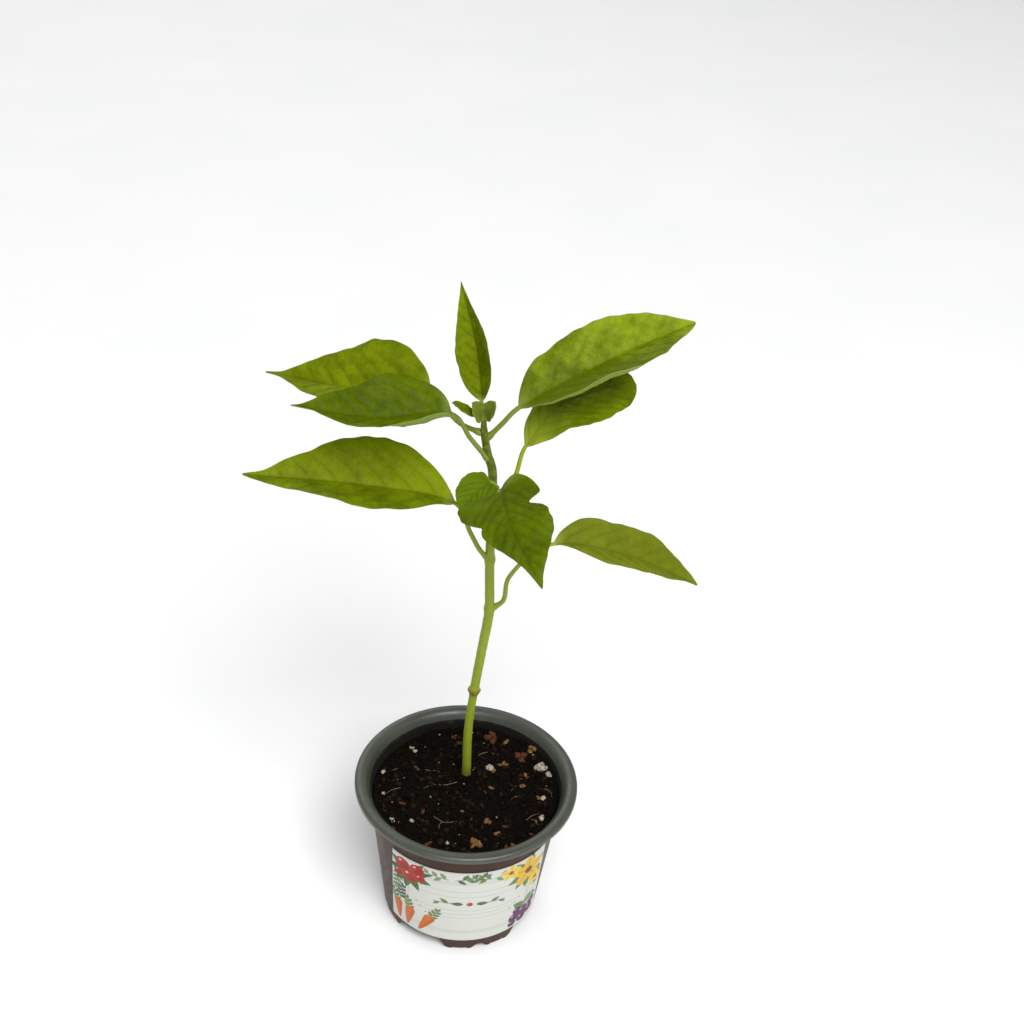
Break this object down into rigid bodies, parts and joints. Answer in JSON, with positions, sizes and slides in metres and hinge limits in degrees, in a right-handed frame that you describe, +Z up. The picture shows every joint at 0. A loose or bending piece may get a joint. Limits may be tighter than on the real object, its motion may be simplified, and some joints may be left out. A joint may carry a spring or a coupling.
{
  "type": "potted plant",
  "caption": "Young chilli pepper plant with an upright stem and pointed leaves, in soil in a thin moulded nursery pot with a plain patterned paper label.",
  "frame": {"origin": "middle of the pot's base, on the surface that the pot stands on", "axes": "+Z up along the plant; -Y is the front of the pot, where the label is; +X is to the right seen from the front"},
  "size_m": [0.1919, 0.1072, 0.319],
  "materials": {
    "pot_plastic": "satin moulded plastic, brown outside and grey-green at the rim",
    "label_paper": "smooth printed paper",
    "soil": "rough damp potting soil with pale grains",
    "stem": "satin green skin",
    "leaf": "satin leaf with sunken veins",
    "young_leaf": "satin young leaf"
  },
  "bodies": {
    "root": {"pot": "pot_plastic", "label": "label_paper", "soil": "soil", "main_stem": "stem", "leaf_left_low": "leaf", "leaf_right_low": "leaf", "leaf_front": "leaf", "leaf_front_small": "leaf", "leaf_left_back": "leaf", "leaf_left_front": "leaf", "leaf_top": "leaf", "leaf_right_high": "leaf", "leaf_right_under": "leaf", "shoot_tip": "young_leaf"}
  },
  "joints": []
}
